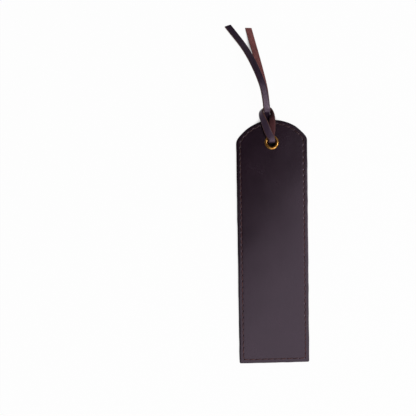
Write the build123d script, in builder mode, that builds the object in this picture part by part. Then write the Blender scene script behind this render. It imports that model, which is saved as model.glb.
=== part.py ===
from build123d import *
from math import cos, radians, sqrt, tan
import os

# A leather bookmark: two sewn layers with an arched top, a set brass eyelet and a flat lace tied
# through it in a lark's head. It lies flat, front face up (+Z), with the lace end towards +Y.
# The origin is the middle of the straight foot, on the plane where the two layers meet.

# Leather panel
panel_width = 45.0
panel_length = 155.0
arch_rise = 12.7
layer_thickness = 1.25
foot_corner_radius = 1.2
shoulder_radius = 2.5
edge_bevel = 0.3

# Seam: lockstitches in a shallow valley that the thread's pull leaves in the leather
seam_inset = 2.5
stitch_pitch = 3.9
thread_width = 0.5
thread_gap = 0.1
valley_depth = 0.45
needle_hole = 0.8

# Eyelet and the washer that its end is rolled over
eyelet_drop = 14.5
bore_radius = 2.5
eyelet_wall = 0.3
flange_reach = 2.1
flange_height = 0.75
dome_facets = 8
roll_reach = 1.4
roll_height = 0.5
roll_slope = 0.5
washer_reach = 1.7
washer_thickness = 0.35
eyelet_fit = 0.1

# Lace
lace_width = 4.3
lace_thickness = 1.1
strand_gap = 0.15
bore_gap = 0.2
bore_offset_share = 0.29
gentle_turn = 20.0
tip_width = 3.7
upper_cut_angle = -20.0
lower_cut_angle = -10.0

# Sizes that follow from those above
arch_radius = ((panel_width / 2) ** 2 + arch_rise**2) / (2 * arch_rise)
arch_centre = panel_length - arch_radius
eyelet_y = panel_length - eyelet_drop
barrel_radius = bore_radius + eyelet_wall
flange_radius = bore_radius + flange_reach
roll_radius = bore_radius + roll_reach
washer_radius = barrel_radius + washer_reach
crest_height = layer_thickness + flange_height
back_depth = layer_thickness + washer_thickness + roll_height
valley_width = 2 * thread_width / sqrt(3) + 2 * thread_gap
strand_step = lace_thickness + strand_gap

os.makedirs("parts", exist_ok=True)


def arched_loop(inset):
    """Foot, right side, arch and left side of the panel's shape, drawn in by inset."""
    side = panel_width / 2 - inset
    radius = arch_radius - inset
    shoulder = arch_centre + sqrt(radius**2 - side**2)
    with BuildLine() as loop:
        foot = Line((-side, inset), (side, inset))
        right = Line(foot @ 1, (side, shoulder))
        arch = ThreePointArc(right @ 1, (0, arch_centre + radius), (-side, shoulder))
        left = Line(arch @ 1, foot @ 0)
    return foot, right, arch, left


def heading(course):
    """Angle of a course in the panel's plane, from +X."""
    return Vector(1, 0).get_signed_angle(course, Vector(0, 0, 1))


# Stitches: each edge of the seam takes a whole number of them, so that the needle turns at its corners
seam_runs = []
for edge in arched_loop(seam_inset):
    count = max(1, round(edge.length / stitch_pitch))
    seam_runs.append([(edge @ (i / count), edge @ ((i + 1) / count)) for i in range(count)])

with BuildSketch() as outline:
    make_face(arched_loop(0))
    corners = outline.vertices().group_by(Axis.Y)
    fillet(corners[0], foot_corner_radius)
    fillet(corners[-1], shoulder_radius)

with BuildSketch() as valley:
    make_face(arched_loop(seam_inset - valley_width / 2))
    make_face(arched_loop(seam_inset + valley_width / 2), mode=Mode.SUBTRACT)

# Front layer: its edge is bevelled, and the eyelet's hole and the seam's valley are cut into it
with BuildPart() as front_panel:
    add(outline.sketch)
    extrude(amount=layer_thickness)
    chamfer(front_panel.faces().sort_by(Axis.Z)[-1].edges(), edge_bevel)
    with Locations((0, eyelet_y)):
        Hole(barrel_radius + eyelet_fit)
    with BuildSketch(Plane.XY.offset(layer_thickness)):
        add(valley.sketch)
    extrude(amount=-valley_depth, mode=Mode.SUBTRACT)

# Back layer: cut and punched together with the front one, so it is its mirror image
with BuildPart() as back_panel:
    add(front_panel.part)
    mirror(about=Plane.XY, mode=Mode.REPLACE)


def stitch_bar(length):
    """One stitch along +X, on the valley's floor from one needle hole to the next."""
    with BuildPart() as stitch:
        with BuildSketch(Plane.YZ.offset(needle_hole / 2)):
            with Locations((0, layer_thickness - valley_depth + thread_width / 2)):
                RegularPolygon(thread_width / 2, 6, major_radius=False)
        extrude(amount=length - needle_hole)
    return stitch.part


# Needle thread: the stitches that show on the front, one length on each edge of the seam
bars = [stitch_bar((run[0][1] - run[0][0]).length) for run in seam_runs]
with BuildPart() as needle_stitches:
    for bar, run in zip(bars, seam_runs):
        with Locations(*[Location(start, (0, 0, heading(end - start))) for start, end in run]):
            add(bar)

# Bobbin thread: its mirror image on the back
with BuildPart() as bobbin_stitches:
    add(needle_stitches.part)
    mirror(about=Plane.XY, mode=Mode.REPLACE)

# Eyelet: a domed flange in front, a barrel through both layers, and its end set over the washer behind
flange_middle = (bore_radius + flange_radius) / 2
washer_back = layer_thickness + washer_thickness
with BuildLine() as flange:
    dome = ThreePointArc(
        (bore_radius, layer_thickness), (flange_middle, crest_height), (flange_radius, layer_thickness)
    )
with BuildPart() as eyelet:
    with BuildSketch(Plane.XZ.offset(-eyelet_y)):
        with BuildLine():
            bore = Line((bore_radius, -washer_back), (bore_radius, layer_thickness))
            Polyline(*[dome @ (i / dome_facets) for i in range(dome_facets + 1)])
            Polyline(
                (flange_radius, layer_thickness),
                (barrel_radius, layer_thickness),
                (barrel_radius, -washer_back),
                (roll_radius, -washer_back),
                (roll_radius - roll_slope, -back_depth),
                (bore_radius + roll_slope, -back_depth),
                bore @ 0,
            )
        make_face()
    revolve(axis=Axis((0, eyelet_y, 0), (0, 0, 1)))

# Washer: a flat ring that keeps the rolled end from pulling through the back layer
with BuildPart() as eyelet_washer:
    with BuildSketch(Plane.XY.offset(-layer_thickness)):
        with Locations((0, eyelet_y)):
            Circle(washer_radius)
            Circle(barrel_radius + eyelet_fit, mode=Mode.SUBTRACT)
    extrude(amount=-washer_thickness)


def level(share):
    """Height of a strand: 1 and -1 are the eyelet's front and back, and each step past them is one strand."""
    if share > 1:
        return crest_height + (share - 1) * strand_step
    if share < -1:
        return -back_depth + (share + 1) * strand_step
    return share * (crest_height if share > 0 else back_depth)


def squeezed(along):
    """Width that a strand keeps in the bore when its face farthest from the axis is at along."""
    return min(lace_width, 2 * sqrt((bore_radius - bore_gap) ** 2 - along**2))


def knot_point(across_share, along_share, height_share):
    """A point of the knot, from the lace's width, the eyelet's place below the crown and the strands' levels."""
    return Vector(across_share * lace_width, eyelet_y + along_share * eyelet_drop, level(height_share))


def bore_bend(along, width, bend_shares):
    """Rows of one strand that turns out of the bore towards the crown, from the bore outwards."""
    return [
        (Vector(0, eyelet_y + along + out_share * strand_step, level(height_share)), (1, 0, 0), width)
        for out_share, height_share in bend_shares
    ]


def table_rows(shares):
    """Rows of the knot's route: a point, the direction across the lace there and the lace's width."""
    return [
        (knot_point(across, along, height), side, width * lace_width)
        for across, along, height, side, width in shares
    ]


# The lace's route through the knot, from the upper tail to the lower one: across, along and height
# shares, the direction across the lace, and the share of its width that the squeeze leaves
upper_strand_shares = [
    (-0.70, 1.655, 4.36, (1, 0, 0), 1.0),
    (-0.69, 1.490, 4.26, (1, 0, 0), 1.0),
    (-0.67, 1.360, 3.08, (1, 0, 0), 0.88),
    (-0.63, 1.255, 0.95, (1, 0, 0), 0.87),
    (-0.57, 1.172, -0.29, (1, 0, 0), 0.88),
    (-0.46, 1.048, -1.24, (1, 0, 0), 0.95),
    (-0.28, 0.828, -1.70, (1, 0, 0), 0.98),
    (-0.09, 0.483, -1.74, (1, 0, 0), 0.98),
]
loop_shares = [
    (0.05, 0.517, 1.72, (1, 0, 0), 1.0),
    (0.10, 0.862, 1.92, (0.96, 0.05, 0.28), 1.0),
    (0.16, 1.138, 2.00, (0.6, 0.25, 0.76), 1.0),
    (0.18, 1.345, 0.95, (0.2, 0.2, 0.96), 1.0),
    (-0.14, 1.494, 0.50, (0, 0.16, 0.98), 1.0),
    (-1.06, 1.516, 0.50, (0, 0.1, 0.99), 1.0),
    (-1.49, 1.388, 0.95, (0.2, -0.1, 0.97), 1.0),
    (-1.47, 1.195, 1.74, (0.7, 0.1, 0.7), 1.0),
    (-1.12, 0.910, 2.52, (0.92, 0.25, 0.3), 1.05),
    (-0.79, 0.621, 2.80, (0.95, 0.3, 0.1), 1.1),
    (-0.46, 0.359, 2.76, (0.96, 0.28, 0), 1.1),
]
lower_strand_shares = [
    (-0.09, 0.448, -2.76, (1, 0, 0), 1.0),
    (-0.26, 0.814, -2.72, (1, 0, 0), 1.0),
    (-0.46, 1.090, -2.22, (1, 0, 0), 0.95),
    (-0.58, 1.248, -0.60, (1, 0, 0), 0.93),
    (-0.64, 1.331, 0.65, (1, 0, 0), 0.92),
    (-0.67, 1.441, 2.53, (1, 0, 0), 0.92),
    (-0.69, 1.545, 3.28, (1, 0, 0), 0.97),
    (-0.70, 1.655, 3.36, (1, 0, 0), 1.0),
]
far_bend_shares = [(0, 0.5), (0.26, 1.5), (1.7, 1.75)]
near_bend_shares = [(0, 0.5), (0.2, 1.95), (1.6, 2.74)]
back_far_bend_shares = [(out, -height) for out, height in far_bend_shares]
back_near_bend_shares = [(out, -height) for out, height in near_bend_shares]

bore_middle = bore_offset_share * bore_radius
far_along = bore_middle + strand_step / 2
near_along = bore_middle - strand_step / 2
far_width = squeezed(far_along + lace_thickness / 2)
near_width = squeezed(near_along + lace_thickness / 2)
knot_rows = (
    table_rows(upper_strand_shares)
    + bore_bend(far_along, far_width, back_far_bend_shares)[::-1]
    + bore_bend(far_along, far_width, far_bend_shares)
    + table_rows(loop_shares)
    + bore_bend(near_along, near_width, near_bend_shares)[::-1]
    + bore_bend(near_along, near_width, back_near_bend_shares)
    + table_rows(lower_strand_shares)
)

# The free tails, from the knot's two ends: offsets across, along and up, as they lie on the table
upper_tail_route = [
    (0, 0, 0),
    (-0.3, 7.5, 1.5),
    (-2.2, 16.0, 2.0),
    (-6.4, 25.5, -0.2),
    (-11.5, 35.0, -4.9),
    (-17.5, 43.6, -9.7),
    (-23.9, 51.4, -12.0),
]
lower_tail_route = [
    (0, 0, 0),
    (-0.4, 7.5, 1.4),
    (-1.8, 15.5, 1.6),
    (-4.2, 24.5, -1.3),
    (-6.6, 34.0, -6.4),
    (-8.75, 42.3, -9.8),
    (-10.8, 49.9, -10.75),
]
trim_share = 0.45
up = Vector(0, 0, 1)


def tail_rows(start, route):
    """Rows of a tail: it lies flat, so its width is level and square to its course, and it tapers."""
    points = [start + Vector(*offset) for offset in route]
    courses = [after - before for before, after in zip(points[:1] + points[:-1], points[1:] + points[-1:])]
    taper = (lace_width - tip_width) / (len(points) - 1)
    return [
        (point, course.cross(up), lace_width - taper * i)
        for i, (point, course) in enumerate(zip(points, courses))
    ]


def corner_radii(points):
    """The largest arcs that the runs on both sides of each corner leave room for."""
    radii = []
    for before, corner, after in zip(points, points[1:], points[2:]):
        into, out = corner - before, after - corner
        shorter = min(into.length, out.length)
        radii.append(trim_share * shorter / tan(radians(into.get_angle(out) / 2)))
    return radii


def section(place, course, side, width):
    """A cross-section of the lace, square to its course."""
    side = Vector(*side)
    side = side - course * side.dot(course)
    return Plane(place, x_dir=side, z_dir=course), width


def lace_sections(rows):
    """Cross-sections along a route of straight runs and tangent arcs."""
    points = [point for point, _, _ in rows]
    with BuildLine() as path:
        FilletPolyline(*points, radius=corner_radii(points))
    arcs = path.line.edges().filter_by(GeomType.CIRCLE)
    arcs = [min(arcs, key=lambda arc: (arc @ 0.5 - point).length) for point in points[1:-1]]
    sections = []
    for before, (point, side, width), after, arc in zip(rows, rows[1:], rows[2:], arcs):
        first, last = sorted((0, 1), key=lambda end: (arc @ end - before[0]).length)
        forward = 1 if first == 0 else -1
        stops = [(first, before, trim_share), (last, after, trim_share)]
        if (point - before[0]).get_angle(after[0] - point) > gentle_turn:
            stops.insert(1, (0.5, before, 0))
        for stop, other, share in stops:
            mixed_side = Vector(*side) * (1 - share) + Vector(*other[1]).normalized() * share
            mixed_width = width * (1 - share) + other[2] * share
            sections.append(section(arc @ stop, (arc % stop) * forward, mixed_side, mixed_width))
    return sections, path.wire().length


def lace_ends(rows):
    """Square end sections at the first and last rows of the knot, which both face the tails."""
    return [section(point, Vector(0, facing, 0), side, width) for (point, side, width), facing in rows]


# Knot: one strip of lace folded in half, through the eyelet, round the top edge and through its own loop
knot_sections, knot_length = lace_sections(knot_rows)
knot_first, knot_last = lace_ends([(knot_rows[0], -1), (knot_rows[-1], 1)])
with BuildPart() as lace_knot:
    for plane, width in [knot_first] + knot_sections + [knot_last]:
        with BuildSketch(plane):
            Rectangle(width, lace_thickness)
    loft(ruled=True)


def tail_sections(start, route, cut_angle):
    """Sections of a tail, from the knot's end face to the slanting cut at its tip."""
    rows = tail_rows(start, route)
    middle, length = lace_sections(rows)
    (first,) = lace_ends([(rows[0], 1)])
    tip_point, tip_side, _ = rows[-1]
    slanted = (tip_point - rows[-2][0]).normalized().rotate(Axis.Z, cut_angle)
    last = section(tip_point, slanted, tip_side, tip_width / cos(radians(cut_angle)))
    print("tail length", round(length, 1), "radii", [round(r, 1) for r in corner_radii([p for p, _, _ in rows])])
    return [first] + middle + [last], length


# Upper tail: the end of the lace that lies grain side up
upper_sections, upper_length = tail_sections(knot_rows[0][0], upper_tail_route, upper_cut_angle)
with BuildPart() as lace_tail_upper:
    for plane, width in upper_sections:
        with BuildSketch(plane):
            Rectangle(width, lace_thickness)
    loft(ruled=True)

# Lower tail: the end that lies flesh side up, under the other
lower_sections, lower_length = tail_sections(knot_rows[-1][0], lower_tail_route, lower_cut_angle)
with BuildPart() as lace_tail_lower:
    for plane, width in lower_sections:
        with BuildSketch(plane):
            Rectangle(width, lace_thickness)
    loft(ruled=True)

mean_section = (lace_width + tip_width) / 2 * lace_thickness
for piece, length in ((lace_tail_upper, upper_length), (lace_tail_lower, lower_length)):
    print("tail volume", round(piece.part.volume), "mean section x length", round(length * mean_section))
print("knot length", round(knot_length, 1), "volume", round(lace_knot.part.volume))

front_panel.part.label = "front_panel"
export_step(front_panel.part, "parts/front_panel.step")
back_panel.part.label = "back_panel"
export_step(back_panel.part, "parts/back_panel.step")
needle_stitches.part.label = "needle_stitches"
export_step(needle_stitches.part, "parts/needle_stitches.step")
bobbin_stitches.part.label = "bobbin_stitches"
export_step(bobbin_stitches.part, "parts/bobbin_stitches.step")
eyelet.part.label = "eyelet"
export_step(eyelet.part, "parts/eyelet.step")
eyelet_washer.part.label = "eyelet_washer"
export_step(eyelet_washer.part, "parts/eyelet_washer.step")
lace_knot.part.label = "lace_knot"
export_step(lace_knot.part, "parts/lace_knot.step")
lace_tail_upper.part.label = "lace_tail_upper"
export_step(lace_tail_upper.part, "parts/lace_tail_upper.step")
lace_tail_lower.part.label = "lace_tail_lower"
export_step(lace_tail_lower.part, "parts/lace_tail_lower.step")
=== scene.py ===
# A leather bookmark with a lace tied through its eyelet, lying on a pale table. The file follows the
# making of it: the two layers, their seam, the eyelet and its washer, the lace, and then the table,
# lights and camera. Lengths are in metres, in the frame of the solids.
import math

import bpy
import numpy as np
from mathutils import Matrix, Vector, noise


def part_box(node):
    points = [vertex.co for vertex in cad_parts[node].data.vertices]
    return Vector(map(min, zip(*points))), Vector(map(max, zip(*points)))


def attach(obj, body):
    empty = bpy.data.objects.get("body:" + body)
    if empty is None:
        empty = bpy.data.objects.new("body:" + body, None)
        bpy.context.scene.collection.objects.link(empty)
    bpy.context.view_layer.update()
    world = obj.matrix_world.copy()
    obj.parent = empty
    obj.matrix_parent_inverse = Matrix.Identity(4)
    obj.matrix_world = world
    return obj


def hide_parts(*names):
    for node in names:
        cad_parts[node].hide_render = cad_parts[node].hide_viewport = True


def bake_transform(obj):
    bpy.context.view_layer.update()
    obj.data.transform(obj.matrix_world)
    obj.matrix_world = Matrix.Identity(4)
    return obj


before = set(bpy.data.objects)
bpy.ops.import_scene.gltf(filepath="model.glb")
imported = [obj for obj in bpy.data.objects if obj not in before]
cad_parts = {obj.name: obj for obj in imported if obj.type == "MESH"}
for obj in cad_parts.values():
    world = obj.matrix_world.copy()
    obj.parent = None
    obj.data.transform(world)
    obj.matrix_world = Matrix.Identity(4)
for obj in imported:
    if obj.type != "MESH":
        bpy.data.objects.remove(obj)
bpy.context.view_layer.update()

# The leather layers
# Two sheets of smooth dyed leather, cut to an arched top and glued flesh to flesh. Their edges are
# bevelled and burnished, and the thread draws the grain down a little, most of all at each needle hole.
mm = 0.001
panel_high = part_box("front_panel")[1]
half_width = panel_high.x
panel_length = panel_high.y
layer = panel_high.z
arch_rise = 12.7 * mm
arch_radius = (half_width**2 + arch_rise**2) / (2 * arch_rise)
arch_centre = panel_length - arch_radius
seam_inset = 2.5 * mm
stitch_pitch = 3.9 * mm
steps_per_stitch = 8
valley_depth = 0.01 * mm
valley_reach = 0.75 * mm
valley_ripple = 0.14
needle_dip = 0.2 * mm
needle_reach = 0.24 * mm
sheet_wave = 0.07 * mm
wave_length = 21 * mm
cut_wander = 0.16 * mm
wander_length = 6 * mm
wander_seed = 3.7
cut_taper = 0.024
foot_slant = 0.012
arch_slant = 0.036
shoulder_rounds = 14
foot_rounds = 3
eyelet_drop = 14.5 * mm
eyelet_place = Vector((0, panel_length - eyelet_drop, 0))
flat_about_eyelet = 9 * mm
flat_share = 0.6
hole_radius = 2.9 * mm
hole_steps = 64
punch_length = 6 * layer
sharp_fold = math.radians(48)
burnish_reach = (0.2 * mm, 1.2 * mm)
wax_reach = (0.25 * mm, 0.9 * mm)
aubergine_deep = (0.0105, 0.0036, 0.008, 1)
aubergine_pale = (0.017, 0.0068, 0.0135, 1)
mottle_pale = (0.021, 0.01, 0.0185, 1)
pore_dark = (0.004, 0.0018, 0.004, 1)
wax_brown = (0.034, 0.011, 0.013, 1)
edge_dark = (0.004, 0.002, 0.004, 1)
panel_sheen = (1, 0.8, 1, 1)
pebble_depth = 0.06 * mm
# Insets in mm and shares of the layer's height round the burnished edge, and insets over the grain
rim_rows = [(0.34, 0), (0.1, 0.08), (0.01, 0.256), (0, 0.56)]
rim_rows += [(0.03, 0.784), (0.12, 0.912), (0.28, 0.976), (0.55, 1)]
grain_insets = [1.1, 1.5, 1.8, 2.05, 2.25, 2.4, 2.5, 2.6, 2.75, 2.95, 3.2, 3.6, 4.2, 5.2, 6.6]
grain_insets += [8.2, 9.8, 11.4, 13, 14.6, 16.2, 17.8, 19.4, 21]


def seam_edges(inset):
    """Half width, top of the straight sides, arch radius and half its sweep, drawn in by inset."""
    side = half_width - inset
    radius = arch_radius - inset
    sweep = math.asin(side / radius)
    return side, arch_centre + radius * math.cos(sweep), radius, sweep


def stitches_per_edge():
    """Whole stitches on the seam's foot, right side, arch and left side."""
    side, shoulder, radius, sweep = seam_edges(seam_inset)
    lengths = (2 * side, shoulder - seam_inset, 2 * sweep * radius, shoulder - seam_inset)
    return [round(edge / stitch_pitch) for edge in lengths]


def arched_loop(inset, steps):
    """Points round the panel's shape drawn in by inset, with so many steps on each of its four edges."""
    side, shoulder, radius, sweep = seam_edges(inset)
    foot, right, arch, left = [np.arange(n) / n for n in steps]
    turn = sweep * (1 - 2 * arch)
    return np.vstack(
        (
            np.stack((side * (2 * foot - 1), np.full_like(foot, inset)), 1),
            np.stack((np.full_like(right, side), inset + (shoulder - inset) * right), 1),
            np.stack((radius * np.sin(turn), arch_centre + radius * np.cos(turn)), 1),
            np.stack((np.full_like(left, -side), shoulder + (inset - shoulder) * left), 1),
        )
    )


def wavering(points, wavelength, seed):
    """Smooth chance values from -1 to 1 at points in the panel's plane."""
    return np.array([noise.noise((x / wavelength, y / wavelength, seed)) for x, y in points])


def cut_loop(inset):
    """The loop as cut by hand: tapered and slanted a little, its corners eased, its edge wandering."""
    loop = arched_loop(inset, [steps_per_stitch * count for count in stitches_per_edge()])
    for rounds in range(shoulder_rounds):
        eased = (np.roll(loop, 1, 0) + 2 * loop + np.roll(loop, -1, 0)) / 4
        crisp = (loop[:, 1] < panel_length / 2) & (rounds >= foot_rounds)
        loop = np.where(crisp[:, None], loop, eased)
    course = np.roll(loop, -1, 0) - np.roll(loop, 1, 0)
    outward = np.stack((course[:, 1], -course[:, 0]), 1) / np.linalg.norm(course, axis=1)[:, None]
    fade = max(0, 1 - inset / seam_inset)
    loop = loop + outward * (fade * cut_wander * wavering(loop, wander_length, wander_seed))[:, None]
    share = loop[:, 1] / panel_length
    slanted = loop[:, 1] + loop[:, 0] * (foot_slant + (arch_slant - foot_slant) * share)
    return np.stack((loop[:, 0] * (1 + cut_taper * (share - 0.5)), slanted), 1)


def sheet_rings(seed):
    """Rings of one layer from its glued face round the cut edge and over the grain to the middle."""
    phase = np.arange(steps_per_stitch * sum(stitches_per_edge())) / steps_per_stitch % 1
    from_hole = np.minimum(phase, 1 - phase) * stitch_pitch
    ripple = 1 - valley_ripple + valley_ripple * np.cos(2 * math.pi * phase)
    rings = []
    for inset_mm, height_share in rim_rows + [(inset, None) for inset in grain_insets]:
        inset = inset_mm * mm
        loop = cut_loop(inset)
        if height_share is None:
            off_seam = (inset - seam_inset) / valley_reach
            off_hole = (inset - seam_inset) / needle_reach
            dip = valley_depth * math.exp(-off_seam**2) * ripple
            dip = dip + needle_dip * math.exp(-off_hole**2) * np.exp(-((from_hole / needle_reach) ** 2))
            from_eyelet = np.linalg.norm(loop - np.array(eyelet_place.xy), axis=1)
            loose = np.clip(from_eyelet / flat_about_eyelet - flat_share, 0, 1)
            height = layer - dip + sheet_wave * loose * wavering(loop, wave_length, seed)
        else:
            height = np.full(len(loop), height_share * layer)
        rings.append(np.column_stack((loop, height)))
    return rings


def mesh_object(name, points, faces):
    """A new object with that mesh, smooth but for its sharp folds."""
    mesh = bpy.data.meshes.new(name)
    mesh.from_pydata([tuple(p) for p in points], [], faces)
    mesh.shade_smooth()
    mesh.set_sharp_from_angle(angle=sharp_fold)
    made = bpy.data.objects.new(name, mesh)
    bpy.context.collection.objects.link(made)
    return made


def ring_faces(rings, around, closed=False):
    """Quads between rings of so many points, capped at both ends unless the rings close up."""
    last = rings if closed else rings - 1
    faces = [
        (i * around + j, i * around + (j + 1) % around,
         (i + 1) % rings * around + (j + 1) % around, (i + 1) % rings * around + j)
        for i in range(last)
        for j in range(around)
    ]
    if not closed:
        faces += [tuple(range(around))[::-1], tuple(range((rings - 1) * around, rings * around))]
    return faces


def punched(sheet):
    """The sheet with the eyelet's hole through it."""
    bpy.ops.mesh.primitive_cylinder_add(
        vertices=hole_steps, radius=hole_radius, depth=punch_length, location=eyelet_place
    )
    punch = bpy.context.object
    cut = sheet.modifiers.new("hole", "BOOLEAN")
    cut.object = punch
    bpy.context.view_layer.update()
    mesh = bpy.data.meshes.new_from_object(sheet.evaluated_get(bpy.context.evaluated_depsgraph_get()))
    sheet.modifiers.clear()
    sheet.data = mesh
    bpy.data.objects.remove(punch)
    return sheet


class Wire:
    """A socket of a shader: sums with it add Math nodes, and node() adds any other node."""

    def __init__(self, tree, socket=None):
        self.tree = tree
        self.socket = socket

    def node(self, kind, settings=None, sockets=None, out=0):
        """A new node's output. The settings are made first, then each socket gets its value or wire."""
        made = self.tree.nodes.new("ShaderNode" + kind)
        for name, value in (settings or {}).items():
            setattr(made, name, value)
        for name, value in (sockets or {}).items():
            if isinstance(value, Wire):
                self.tree.links.new(value.socket, made.inputs[name])
            else:
                made.inputs[name].default_value = value
        return Wire(self.tree, made.outputs[out]) if made.outputs else None

    def out(self, name):
        """Another output of the node that this wire comes from."""
        return Wire(self.tree, self.socket.node.outputs[name])

    def math(self, operation, first, second=0.0):
        return self.node("Math", {"operation": operation}, {0: first, 1: second})

    def __add__(self, other):
        return self.math("ADD", self, other)

    __radd__ = __add__

    def __mul__(self, other):
        return self.math("MULTIPLY", self, other)

    __rmul__ = __mul__

    def __sub__(self, other):
        return self.math("SUBTRACT", self, other)

    def __rsub__(self, other):
        return self.math("SUBTRACT", other, self)

    def __truediv__(self, other):
        return self.math("DIVIDE", self, other)

    def __pow__(self, other):
        return self.math("POWER", self, other)

    def __abs__(self):
        return self.math("ABSOLUTE", self)

    def least(self, other):
        return self.math("MINIMUM", self, other)

    def most(self, other):
        return self.math("MAXIMUM", self, other)

    def rise(self, start, end):
        """0 before start and 1 after end, with an eased slope between."""
        return self.node(
            "MapRange",
            {"interpolation_type": "SMOOTHSTEP"},
            {"Value": self, "From Min": start, "From Max": end},
        )

    def mix(self, first, second):
        """The first colour where this wire is 0, and the second where it is 1."""
        return self.node("Mix", {"data_type": "RGBA"}, {0: self, 6: first, 7: second}, out=2)


def empty_material(name):
    """A material with no nodes, and a wire to start them from."""
    material = bpy.data.materials.new(name)
    material.use_nodes = True
    material.node_tree.nodes.clear()
    return material, Wire(material.node_tree)


def panel_leather():
    """Smooth aubergine leather: fine pores, faint clouds in the dye, burnished edges, wax by the seam."""
    material, start = empty_material("panel_leather")
    place = start.node("TexCoord", out="Object")
    axes = start.node("SeparateXYZ", {}, {"Vector": place})
    share = axes.out("Y") / panel_length
    across = axes / (1 + (share - 0.5) * cut_taper)
    along = axes.out("Y") - axes * (foot_slant + share * (arch_slant - foot_slant))
    above = (along - arch_centre).most(0)
    crown = arch_radius - (across * across + above * above) ** 0.5
    inset = (half_width - abs(across)).least(along).least(crown)
    burnish = 1 - inset.rise(*burnish_reach)
    waxed = 1 - abs(inset - seam_inset).rise(*wax_reach)
    cloud = start.node("TexNoise", {}, {"Vector": place, "Scale": 55, "Detail": 4, "Roughness": 0.55})
    mottle = start.node("TexNoise", {}, {"Vector": place, "Scale": 420, "Detail": 3, "Roughness": 0.6})
    pebble = start.node(
        "TexVoronoi", {"feature": "SMOOTH_F1"}, {"Vector": place, "Scale": 1150, "Smoothness": 0.6}
    )
    pores = start.node("TexVoronoi", {}, {"Vector": place, "Scale": 640, "Randomness": 1.0})
    pore = 1 - pores.rise(0.1, 0.26)
    scuff = start.node("TexNoise", {}, {"Vector": place, "Scale": 900, "Detail": 2, "Distortion": 1.4})
    dye = cloud.rise(0.3, 0.72).mix(aubergine_deep, aubergine_pale)
    dye = (mottle.rise(0.35, 0.75) * 0.35).mix(dye, mottle_pale)
    dye = (pore * 0.5).mix(dye, pore_dark)
    dye = (waxed * 0.35).mix(dye, wax_brown)
    dye = (burnish * 0.85).mix(dye, edge_dark)
    gloss = 0.15 + cloud * 0.04 + scuff * 0.04 + pore * 0.03
    height = pebble * 0.55 + mottle * 0.5 + scuff * 0.12 - pore * 0.3
    bump = start.node("Bump", {}, {"Height": height, "Strength": 0.09, "Distance": pebble_depth})
    skin = start.node(
        "BsdfPrincipled",
        {},
        {"Base Color": dye, "Roughness": gloss, "Normal": bump, "Specular Tint": panel_sheen},
    )
    start.node("OutputMaterial", {}, {"Surface": skin})
    return material


leather = panel_leather()
for name, node, facing, seed in (
    ("front_leather", "front_panel", 1, 0.3),
    ("back_leather", "back_panel", -1, 5.9),
):
    rings = sheet_rings(seed)
    faces = ring_faces(len(rings), len(rings[0]))
    if facing < 0:
        faces = [face[::-1] for face in faces]
    sheet = punched(mesh_object(name, np.vstack(rings) * (1, 1, facing), faces))
    sheet.data.materials.append(leather)
    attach(sheet, "panel")
    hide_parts(node)

# The seam
# Waxed thread of three twisted plies, lockstitched through both layers. The needle thread shows on the
# front and the bobbin thread on the back: each stitch lies in the grain and dives into its holes.
thread_radius = 0.3 * mm
thread_sink = 0.24 * mm
thread_height = layer - thread_sink + thread_radius
plies = 3
ply_depth = 0.13
ply_pitch = 2.3 * mm
stitch_rings = 23
crowding_share = 0.7
thread_points = 12
dive_depth = 0.8 * mm
dive_reach = 1.3 * mm
slant = math.radians(4)
slant_spread = (0.5, 1.3)
slant_seed = 7
# Where along the panel the thread's painted shade begins and where it is full
thread_shade_reach = (80 * mm, 135 * mm)
thread_deep = (0.042, 0.0095, 0.0105, 1)
thread_red = (0.135, 0.031, 0.032, 1)
thread_dull = (0.035, 0.015, 0.018, 1)
thread_painted_shade = (0.018, 0.007, 0.01, 1)
fibre_depth = 0.05 * mm


def twisted_stitch(length, lay):
    """Rings of one stitch along +X, from hole to hole, with its plies turned by lay."""
    ease = np.linspace(0, 1, stitch_rings)
    crowded = 0.5 - 0.5 * np.cos(math.pi * ease)
    along = length * (crowding_share * crowded + (1 - crowding_share) * ease)
    share = np.clip(np.minimum(along, length - along) / dive_reach, 0, 1)
    height = thread_height - dive_depth * (1 - share) ** 2
    slope = np.gradient(height, along)
    up = np.stack((-slope, np.zeros(stitch_rings), np.ones(stitch_rings)), 1)
    up /= np.linalg.norm(up, axis=1)[:, None]
    middle = np.stack((along, np.zeros(stitch_rings), height), 1)
    turn = np.arange(thread_points) * 2 * math.pi / thread_points
    rings = []
    for point, lift, place in zip(middle, up, along):
        twist = plies * turn - 2 * math.pi * place / ply_pitch + lay
        radius = thread_radius * (1 - ply_depth + ply_depth * np.cos(twist))
        sideways = np.outer(radius * np.cos(turn), (0, 1, 0))
        rings.append(point + sideways + np.outer(radius * np.sin(turn), lift))
    return np.vstack(rings)


def waxed_thread():
    """Reddish brown thread, glossy on the plies, with painted shade that darkens it towards the lace."""
    material, start = empty_material("waxed_thread")
    place = start.node("TexCoord", out="Object")
    fibre = start.node("TexNoise", {}, {"Vector": place, "Scale": 5200, "Detail": 3, "Roughness": 0.7})
    patch = start.node("TexNoise", {}, {"Vector": place, "Scale": 240, "Detail": 2})
    dye = fibre.rise(0.3, 0.75).mix(thread_deep, thread_red)
    dye = (patch.rise(0.4, 0.7) * 0.5).mix(dye, thread_dull)
    along = start.node("SeparateXYZ", {}, {"Vector": place}).out("Y")
    # Painted shade: the thread is darker towards the lace end of the panel
    dye = (along.rise(*thread_shade_reach) * 0.6).mix(dye, thread_painted_shade)
    bump = start.node("Bump", {}, {"Height": fibre, "Strength": 0.4, "Distance": fibre_depth})
    skin = start.node(
        "BsdfPrincipled", {}, {"Base Color": dye, "Roughness": 0.42 + fibre * 0.25, "Normal": bump}
    )
    start.node("OutputMaterial", {}, {"Surface": skin})
    return material


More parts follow.
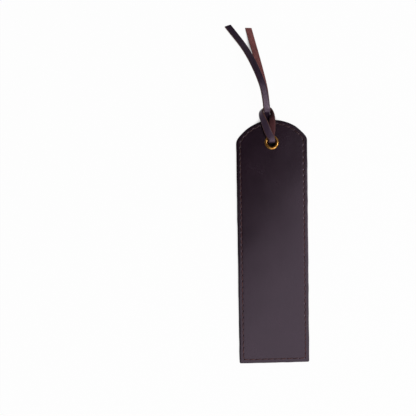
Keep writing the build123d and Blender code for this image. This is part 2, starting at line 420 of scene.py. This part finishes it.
thread = waxed_thread()
holes = cut_loop(seam_inset)[::steps_per_stitch]
chance = np.random.default_rng(slant_seed)
for name, node, facing in (
    ("needle_thread", "needle_stitches", 1),
    ("bobbin_thread", "bobbin_stitches", -1),
):
    points, faces = [], []
    for hole, following in zip(holes, np.roll(holes, -1, 0)):
        course = following - hole
        length = np.linalg.norm(course)
        stitch = twisted_stitch(length, chance.uniform(0, 2 * math.pi))
        lean = math.atan2(course[1], course[0]) + slant * chance.uniform(*slant_spread)
        middle = (hole + following) / 2
        ahead = np.array((math.cos(lean), math.sin(lean)))
        flat = np.outer(stitch[:, 0] - length / 2, ahead) + np.outer(stitch[:, 1], (-ahead[1], ahead[0]))
        placed = np.column_stack((flat + middle, stitch[:, 2] * facing))
        own = ring_faces(stitch_rings, thread_points)
        first = sum(len(part) for part in points)
        faces += [tuple(first + k for k in (face if facing > 0 else face[::-1])) for face in own]
        points.append(placed)
    stitching = mesh_object(name, np.vstack(points), faces)
    stitching.data.materials.append(thread)
    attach(stitching, "panel")
    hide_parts(node)

# The eyelet and its washer
# A drawn brass tube with a domed flange, pushed through both layers from the front. Behind the back
# layer its end is rolled over a flat brass washer, which grips the leather between them.
bore_radius = 2.5 * mm
flange_radius = 4.6 * mm
barrel_radius = 2.8 * mm
roll_radius = 3.9 * mm
washer_radius = 4.5 * mm
washer_thickness = 0.35 * mm
washer_play = 0.1 * mm
washer_bevel = 0.12 * mm
washer_edge_share = 0.6
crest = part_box("eyelet")[1].z
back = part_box("eyelet")[0].z
flange_sink = 0.07 * mm
lathe_steps = 128
arc_steps = 14
brass_dull = (0.36, 0.15, 0.03, 1)
brass_bright = (0.68, 0.36, 0.1, 1)
brass_tarnished = (0.16, 0.065, 0.018, 1)
scratch_depth = 0.02 * mm


def bulge(first, last, level, crown):
    """Points of a shallow arc from one radius to another at that level, up or down to its crown."""
    half = (last - first) / 2
    sag = crown - level
    reach = 2 * math.atan2(abs(sag), abs(half))
    radius = sag / (1 - math.cos(reach))
    return [
        (first + half + half * math.sin(turn) / math.sin(reach), crown - radius * (1 - math.cos(turn)))
        for turn in np.linspace(-reach, reach, arc_steps)
    ]


def turned(name, profile):
    """A piece turned about the eyelet's axis from a profile of radii and heights."""
    turns = np.arange(lathe_steps) * 2 * math.pi / lathe_steps
    rings = [
        [(r * math.cos(turn), eyelet_place.y + r * math.sin(turn), z) for r, z in profile]
        for turn in turns
    ]
    return mesh_object(name, np.vstack(rings), ring_faces(lathe_steps, len(profile), closed=True))


def brass():
    """Polished brass gone a little dull, with soft scratches and darker tarnish low on the flange."""
    material, start = empty_material("eyelet_brass")
    place = start.node("TexCoord", out="Object")
    tarnish = start.node("TexNoise", {}, {"Vector": place, "Scale": 420, "Detail": 4, "Roughness": 0.6})
    scratch = start.node(
        "TexNoise", {}, {"Vector": place, "Scale": 3800, "Detail": 2, "Distortion": 2.0}
    )
    height = start.node("SeparateXYZ", {}, {"Vector": place}).out("Z")
    low = 1 - abs(height).rise(layer, crest)
    metal = tarnish.rise(0.35, 0.7).mix(brass_dull, brass_bright)
    metal = (low * 0.7).mix(metal, brass_tarnished)
    bump = start.node("Bump", {}, {"Height": scratch, "Strength": 0.12, "Distance": scratch_depth})
    gloss = 0.13 + tarnish * 0.1 + low * 0.2
    skin = start.node(
        "BsdfPrincipled", {}, {"Base Color": metal, "Metallic": 1.0, "Roughness": gloss, "Normal": bump}
    )
    start.node("OutputMaterial", {}, {"Surface": skin})
    return material


metal = brass()
washer_back = -layer - washer_thickness
eyelet = turned(
    "brass_eyelet",
    bulge(bore_radius, flange_radius, layer, crest)
    + [
        (flange_radius, layer - flange_sink),
        (barrel_radius, layer - flange_sink),
        (barrel_radius, washer_back),
    ]
    + bulge(roll_radius, bore_radius, washer_back, back),
)
washer = turned(
    "brass_washer",
    [
        (barrel_radius + washer_play, washer_back),
        (barrel_radius + washer_play, -layer + flange_sink),
        (washer_radius, -layer + flange_sink),
        (washer_radius, -layer - washer_edge_share * washer_thickness),
        (washer_radius - washer_bevel, washer_back),
    ],
)
for piece, node in ((eyelet, "eyelet"), (washer, "eyelet_washer")):
    piece.data.materials.append(metal)
    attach(piece, "panel")
    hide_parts(node)

# The lace
# One flat strip of the same leather, smooth grain on one side and brown flesh on the other. Folded in
# half, it goes up through the eyelet, and its ends go round the top edge and through its own loop.
lace_width = 4.3 * mm
lace_half = 0.55 * mm
strand_step = 1.25 * mm
out_of_loop = (0, 0.995, 0.1)
slant_reach = 5 * mm
line_order = 3
line_steps = 10
grain_deep = (0.02, 0.01, 0.022, 1)
grain_pale = (0.036, 0.0205, 0.0385, 1)
grain_streak = (0.056, 0.034, 0.056, 1)
grain_painted_sheen = (0.054, 0.033, 0.056, 1)
flesh_deep = (0.14, 0.042, 0.04, 1)
flesh_pale = (0.38, 0.13, 0.118, 1)
flesh_patch = (0.17, 0.055, 0.054, 1)
flesh_painted_shade = (0.062, 0.016, 0.019, 1)
flesh_loop_shade = (0.014, 0.006, 0.008, 1)
cut_deep = (0.06, 0.026, 0.021, 1)
cut_pale = (0.16, 0.076, 0.06, 1)
lace_sheen = (1, 0.76, 0.94, 1)
nap_depth = 0.08 * mm
fibre_stretch = (1, 0.25, 1)
streak_stretch = (1, 0.05, 1)
# Stretches of the tied strip, from its upper end: where the knot's painted sheen on its grain and
# painted shade on its flesh start, where they fade, and where painted shade darkens the loop's inside
painted_light_from = (20 * mm, 38 * mm)
painted_light_until = (80 * mm, 100 * mm)
loop_shade_from = (45 * mm, 50 * mm)
# Across, along and height shares of each row of the route, the direction across the lace there, and
# the share of its width that the squeeze leaves: from the upper tail, round the loop, to the lower one.
upper_strand = [
    (-0.83, 1.655, 4.36, (1, 0, -0.24), 1.05),
    (-0.75, 1.460, 4.14, (1, 0, -0.22), 1.09),
    (-0.69, 1.320, 3.52, (1, 0, -0.16), 1.0),
    (-0.67, 1.246, 0.95, (1, 0, 0), 0.84),
    (-0.57, 1.172, -0.29, (1, 0, 0), 0.88),
    (-0.46, 1.048, -1.24, (1, 0, 0), 0.95),
    (-0.28, 0.828, -1.70, (1, 0, 0), 0.98),
    (-0.09, 0.483, -1.74, (1, 0, 0), 0.98),
]
loop = [
    (0.05, 0.517, 1.72, (0.98, 0, 0.2), 1.0),
    (0.10, 0.862, 1.92, (0.88, 0.05, 0.47), 1.0),
    (0.13, 1.138, 2.00, (0.62, 0.25, 0.74), 1.0),
    (0.04, 1.345, 0.95, (0.2, 0.2, 0.96), 1.0),
    (-0.20, 1.494, 0.50, (0, 0.16, 0.98), 1.0),
    (-1.06, 1.516, 0.50, (0, 0.1, 0.99), 1.0),
    (-1.535, 1.388, 0.79, (0.32, -0.1, 0.94), 1.0),
    (-1.55, 1.195, 1.74, (0.72, 0.1, 0.68), 1.0),
    (-1.14, 0.910, 2.52, (0.86, 0.22, 0.46), 1.05),
    (-0.80, 0.621, 2.80, (0.92, 0.28, 0.27), 1.1),
    (-0.46, 0.359, 2.76, (0.96, 0.28, 0.08), 1.1),
]
lower_strand = [
    (-0.09, 0.448, -2.76, (1, 0, 0), 1.0),
    (-0.26, 0.814, -2.72, (1, 0, 0), 1.0),
    (-0.46, 1.090, -2.22, (1, 0, 0), 0.95),
    (-0.59, 1.246, -0.60, (1, 0, 0), 0.87),
    (-0.64, 1.325, 0.65, (1, 0, 0), 0.83),
    (-0.71, 1.436, 2.53, (1, 0, -0.06), 0.84),
    (-0.77, 1.545, 3.18, (1, 0, -0.2), 0.97),
    (-0.80, 1.655, 3.36, (1, 0, -0.24), 1.0),
]
# The two strands in the bore, farther from and nearer to its middle: steps out of it and heights
far_strand = [(0, 0.5), (0.26, 1.5), (1.7, 1.75)]
near_strand = [(0, 0.5), (0.2, 1.95), (1.6, 2.74)]
bore_middle = 0.725 * mm
far_width = 3.05 * mm
near_width = 4.3 * mm


def strand_height(share):
    """Height of a strand: 1 and -1 are the eyelet's front and back, each step past them one strand."""
    if share > 1:
        return crest + (share - 1) * strand_step
    if share < -1:
        return back + (share + 1) * strand_step
    return share * (crest if share > 0 else -back)


def knot_rows(table):
    """Points, directions across and widths of the rows of a table."""
    return [
        (
            Vector((across * lace_width, eyelet_place.y + along * eyelet_drop, strand_height(height))),
            Vector(side),
            width * lace_width,
        )
        for across, along, height, side, width in table
    ]


def bore_rows(strand, along, width, facing):
    """Rows of a strand that turns out of the bore, on the front or the back, from the bore outwards."""
    return [
        (
            Vector((0, eyelet_place.y + along + steps * strand_step, strand_height(height * facing))),
            Vector((1, 0, 0)),
            width,
        )
        for steps, height in strand
    ]


def smooth_line(points):
    """Points along the smooth line that a route's points control, read from its NURBS spline."""
    curve = bpy.data.curves.new("route", "CURVE")
    curve.dimensions = "3D"
    spline = curve.splines.new("NURBS")
    spline.points.add(len(points) - 1)
    for knot, place in zip(spline.points, points):
        knot.co = (*place, 1)
    spline.order_u = line_order
    spline.use_endpoint_u = True
    spline.resolution_u = line_steps
    route = bpy.data.objects.new("route", curve)
    mesh = bpy.data.meshes.new_from_object(route)
    line = np.array([vertex.co for vertex in mesh.vertices])
    bpy.data.meshes.remove(mesh)
    bpy.data.objects.remove(route)
    bpy.data.curves.remove(curve)
    return line


# Points round the lace's section, across and through it in half sizes, and how much of the flesh shows
section = [
    (-0.78, 0.97, 0), (-0.72, 0.99, 0), (-0.36, 1.02, 0), (0, 1.03, 0), (0.36, 1.02, 0), (0.72, 0.99, 0),
    (0.78, 0.97, 0), (0.84, 0.84, 0.4), (0.93, 0.5, 0.6), (1.0, -0.3, 0.6), (0.98, -0.8, 0.7),
    (0.92, -0.96, 1), (0.5, -1, 1), (0, -1, 1), (-0.5, -1, 1), (-0.92, -0.96, 1), (-0.98, -0.8, 0.7),
    (-1.0, -0.3, 0.6), (-0.93, 0.5, 0.6), (-0.84, 0.84, 0.4),
]


def lace_piece(name, middle, across, widths, start, ends, slant=0):
    """A length of lace along a line, with its directions across, its widths, where it starts on the strip,
    the headings of its ends and the slant of the cut at its far one."""
    course = np.gradient(middle, axis=0)
    for place, heading in ends.items():
        course[place] = heading
    course /= np.linalg.norm(course, axis=1)[:, None]
    across = across - course * (across * course).sum(1)[:, None]
    across /= np.linalg.norm(across, axis=1)[:, None]
    through = np.cross(course, across)
    shape = np.array(section)
    points = (
        middle[:, None]
        + across[:, None] * (shape[:, 0] * widths[:, None] / 2)[:, :, None]
        + through[:, None] * (shape[:, 1] * lace_half)[:, None]
    )
    along = start + np.concatenate(([0], np.cumsum(np.linalg.norm(np.diff(middle, axis=0), axis=1))))
    fade = np.clip(1 - (along[-1] - along) / slant_reach, 0, 1)
    slide = math.tan(slant) * fade[:, None] * shape[:, 0] * widths[:, None] / 2
    points = points + course[:, None] * slide[:, :, None]
    strip = np.zeros((len(middle), len(shape), 3))
    strip[:, :, 0] = shape[:, 0] * lace_width / 2
    strip[:, :, 1] = along[:, None]
    strip[:, :, 2] = shape[:, 1] * lace_half
    faces = [face[::-1] for face in ring_faces(len(middle), len(shape))]
    piece = mesh_object(name, points.reshape(-1, 3), faces)
    piece.data.attributes.new("strip", "FLOAT_VECTOR", "POINT").data.foreach_set("vector", strip.ravel())
    flesh = np.tile(shape[:, 2], len(middle))
    piece.data.attributes.new("flesh", "FLOAT", "POINT").data.foreach_set("value", flesh)
    return piece, along[-1]


def lace_leather():
    """Dark smooth grain, dry brown flesh with short fibres, and a cut edge between the two."""
    material, start = empty_material("lace_leather")
    strip = start.node("Attribute", {"attribute_name": "strip"}, out="Vector")
    side = start.node("Attribute", {"attribute_name": "flesh"}, out="Fac")
    along = start.node("SeparateXYZ", {}, {"Vector": strip}).out("Y")
    # Painted light on the knot's stretch of the strip: sheen painted on the grain, shade on the flesh
    knot_painted_light = along.rise(*painted_light_from) * (1 - along.rise(*painted_light_until))
    loop_painted_shade = along.rise(*loop_shade_from) * knot_painted_light
    stretched = {"operation": "MULTIPLY"}
    fibre_place = start.node("VectorMath", stretched, {0: strip, 1: fibre_stretch}, out="Vector")
    streak_place = start.node("VectorMath", stretched, {0: strip, 1: streak_stretch}, out="Vector")
    crease = start.node("TexNoise", {}, {"Vector": strip, "Scale": 900, "Detail": 3, "Roughness": 0.6})
    fibre = start.node(
        "TexNoise", {}, {"Vector": fibre_place, "Scale": 2600, "Detail": 4, "Roughness": 0.7}
    )
    patch = start.node("TexNoise", {}, {"Vector": strip, "Scale": 160, "Detail": 3})
    streak = start.node("TexNoise", {}, {"Vector": streak_place, "Scale": 2300, "Detail": 2})
    pebble = start.node(
        "TexVoronoi", {"feature": "SMOOTH_F1"}, {"Vector": strip, "Scale": 1500, "Smoothness": 0.5}
    )
    flesh = side.rise(0.7, 0.95)
    raw = side.rise(0.3, 0.5)
    grain = crease.rise(0.3, 0.75).mix(grain_deep, grain_pale)
    grain = (streak.rise(0.45, 0.7) * 0.4).mix(grain, grain_streak)
    # Painted sheen: the knot's grain is lighter
    grain = (knot_painted_light * 0.75).mix(grain, grain_painted_sheen)
    nap = fibre.rise(0.25, 0.75).mix(flesh_deep, flesh_pale)
    nap = (patch.rise(0.35, 0.7) * 0.45).mix(nap, flesh_patch)
    # Painted shade: the knot's flesh is darker
    nap = (knot_painted_light * 0.75).mix(nap, flesh_painted_shade)
    # Painted shade: the flesh inside the loop is nearly black
    nap = (loop_painted_shade * 0.85).mix(nap, flesh_loop_shade)
    cut = fibre.rise(0.25, 0.75).mix(cut_deep, cut_pale)
    dye = flesh.mix(raw.mix(grain, cut), nap)
    gloss = 0.26 + crease * 0.1 + raw * (0.46 + fibre * 0.1)
    height = (1 - raw) * (pebble * 0.4 + crease * 0.4) + raw * fibre * 2.0
    bump = start.node("Bump", {}, {"Height": height, "Strength": 0.4, "Distance": nap_depth})
    skin = start.node(
        "BsdfPrincipled",
        {},
        {"Base Color": dye, "Roughness": gloss, "Normal": bump, "Specular Tint": lace_sheen},
    )
    start.node("OutputMaterial", {}, {"Surface": skin})
    return material


strip_leather = lace_leather()
far_along = bore_middle + strand_step / 2
near_along = bore_middle - strand_step / 2
rows = (
    knot_rows(upper_strand)
    + bore_rows(far_strand, far_along, far_width, -1)[::-1]
    + bore_rows(far_strand, far_along, far_width, 1)
    + knot_rows(loop)
    + bore_rows(near_strand, near_along, near_width, 1)[::-1]
    + bore_rows(near_strand, near_along, near_width, -1)
    + knot_rows(lower_strand)
)
left_points, right_points = [], []
for i, (place, side, width) in enumerate(rows):
    before, after = rows[max(i - 1, 0)][0], rows[min(i + 1, len(rows) - 1)][0]
    course = (after - before).normalized()
    side = (side - course * side.dot(course)).normalized()
    left_points.append(place - side * width / 2)
    right_points.append(place + side * width / 2)
left, right = smooth_line(left_points), smooth_line(right_points)
knot, knot_end = lace_piece(
    "lace_lark_head",
    (left + right) / 2,
    right - left,
    np.linalg.norm(right - left, axis=1),
    0,
    {0: -np.array(out_of_loop), -1: out_of_loop},
)
knot.data.materials.append(strip_leather)
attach(knot, "lace")
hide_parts("lace_knot")

# The lace's free tails
# The two ends of the same strip, cut at a slant. The upper one lies grain side up and the lower one
# flesh side up; both arch out of the loop and come down to the table.
tip_width = 4.2 * mm
upper_route = [
    (0, 0, 0),
    (-0.9, 7.5, 0.75),
    (-3.6, 16.0, 1.25),
    (-7.4, 25.5, -0.8),
    (-11.7, 35.0, -4.9),
    (-16.95, 43.8, -9.8),
    (-23.3, 52.5, -12.1),
]
lower_route = [
    (0, 0, 0),
    (-0.7, 7.5, 0.65),
    (-2.4, 15.5, 0.85),
    (-4.3, 24.5, -1.9),
    (-6.2, 34.0, -6.4),
    (-8.1, 42.5, -9.8),
    (-10.2, 50.8, -10.75),
]
bend_reach = 24 * mm
# How far each tail is rolled to the right at its root and at its tip
root_roll = 0.24
tip_roll = 0.12
for name, node, body, row, route, grain_up, cut, length in (
    ("lace_upper_tail", "lace_tail_upper", "upper_tail", rows[0], upper_route, 1, 17, 60.5 * mm),
    ("lace_lower_tail", "lace_tail_lower", "lower_tail", rows[-1], lower_route, -1, 14, 53.6 * mm),
):
    root = row[0]
    line = smooth_line([root + Vector(offset) * mm for offset in route])
    reach = np.concatenate(([0], np.cumsum(np.linalg.norm(np.diff(line, axis=0), axis=1))))
    roll = root_roll + (tip_roll - root_roll) * reach / reach[-1]
    upright = np.stack((roll, np.zeros_like(roll), np.ones_like(roll)), 1)
    across = np.cross(np.gradient(line, axis=0), upright) * -grain_up
    widths = row[2] + (tip_width - row[2]) * reach / reach[-1]
    # Each tail starts past the knot's stretch of the strip, so neither takes its painted sheen and shade
    begin = knot_end if grain_up < 0 else 2 * knot_end
    tail, _ = lace_piece(
        name, line, across, widths, begin, {0: out_of_loop}, math.radians(cut) * grain_up
    )
    tail.data.materials.append(strip_leather)
    root + Vector((0, bend_reach, 0))
    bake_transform(tail)
    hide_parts(node)

# The table
# A plain pale table top. The knot's strands lie under the panel's arched end, so the bookmark rests on
# them and on the thread along its foot, and the table slopes a little in its frame.
foot_rest = -thread_height - thread_radius
table_slope = min((point.co.z - foot_rest) / (point.co.y - seam_inset) for point in knot.data.vertices)
table_size = 3
shadow_reach = 12 * mm
glow_share = 0.97
table_white = (0.86, 0.86, 0.86, 1)
painted_contact_shade = (0.03, 0.03, 0.03, 1)
table_mesh = [
    (x * table_size, y * table_size, foot_rest + table_slope * (y * table_size - seam_inset))
    for x, y in ((-1, -1), (1, -1), (1, 1), (-1, 1))
]
table = mesh_object("table_top", table_mesh, [(0, 1, 2, 3)])
material, start = empty_material("white_table")
rays = start.node("LightPath")
# Painted shadow: near the bookmark, ambient occlusion dims the table's glow and darkens its colour
open_sky = start.node("AmbientOcclusion", {"samples": 32}, {"Distance": shadow_reach}, out="AO")
seen = rays.most(rays.out("Is Transmission Ray")) * open_sky.rise(0.3, 0.6)
mirrored = rays.out("Is Glossy Ray") * open_sky.rise(0.75, 1.0)
shade = open_sky.rise(0.12, 0.5).mix(painted_contact_shade, table_white)
matt = start.node("BsdfDiffuse", {}, {"Color": shade})
lit = start.node("Emission", {}, {"Color": (1, 1, 1, 1), "Strength": 1.0})
shown = start.node("MixShader", {}, {0: seen.most(mirrored) * glow_share, 1: matt, 2: lit})
start.node("OutputMaterial", {}, {"Surface": shown})
table.data.materials.append(material)

# Light and camera
# A large soft box hangs over the foot, to the right, and its edge lies across the panel's sheen. A
# weaker one stands low past the foot and a small one at the right, by the lace. The lens is above,
# and only to it are the grey walls white.
wall_grey = (0.36, 0.36, 0.36, 1)
ceiling_grey = (0.04, 0.04, 0.04, 1)
scene = bpy.context.scene
scene.view_settings.view_transform = "Standard"
world = bpy.data.worlds.new("studio")
scene.world = world
world.use_nodes = True
world.node_tree.nodes.clear()
start = Wire(world.node_tree)
upward = start.node("SeparateXYZ", {}, {"Vector": start.node("TexCoord", out="Generated")}).out("Z")
walls = upward.rise(0.35, 0.85).mix(wall_grey, ceiling_grey)
shown = start.node("LightPath").mix(walls, (1, 1, 1, 1))
start.node("OutputWorld", {}, {"Surface": start.node("Background", {}, {"Color": shown})})
box_edge = Vector((140, 54, 1500)) * mm
box_turn = math.radians(54.6)
box_size = 1.3
box_middle = box_edge + Vector((math.sin(box_turn), -math.cos(box_turn), 0)) * box_size / 2
lamps = [
    ("soft_box", box_middle, box_size, 8.5),
    ("foot_box", Vector((0.4, -0.9, 0.65)), 1.0, 6.0),
    ("lace_box", Vector((0.53, 0.1, 0.83)), 0.18, 1.0),
]
for name, place, size, power in lamps:
    lamp = bpy.data.lights.new(name, "AREA")
    lamp.size = size
    lamp.energy = power
    light = bpy.data.objects.new(name, lamp)
    scene.collection.objects.link(light)
    light.location = place
    if name == "soft_box":
        light.rotation_euler = (0, 0, box_turn)
    else:
        light.rotation_euler = (eyelet_place - place).to_track_quat("-Z", "Y").to_euler()

frame_lean = math.radians(0.73)
frame_width = 265.9 * mm
frame_offset = Vector((-40.63 * mm, -41.8 * mm))
camera_height = 0.45
camera = bpy.data.objects.new("camera", bpy.data.cameras.new("camera"))
scene.collection.objects.link(camera)
camera.data.lens = camera.data.sensor_width * camera_height / frame_width
aim = eyelet_place + Vector(
    (
        frame_offset.x * math.cos(frame_lean) + frame_offset.y * math.sin(frame_lean),
        frame_offset.y * math.cos(frame_lean) - frame_offset.x * math.sin(frame_lean),
        0,
    )
)
camera.location = aim + Vector((0, 0, camera_height))
camera.rotation_euler = (0, 0, -frame_lean)
scene.camera = camera
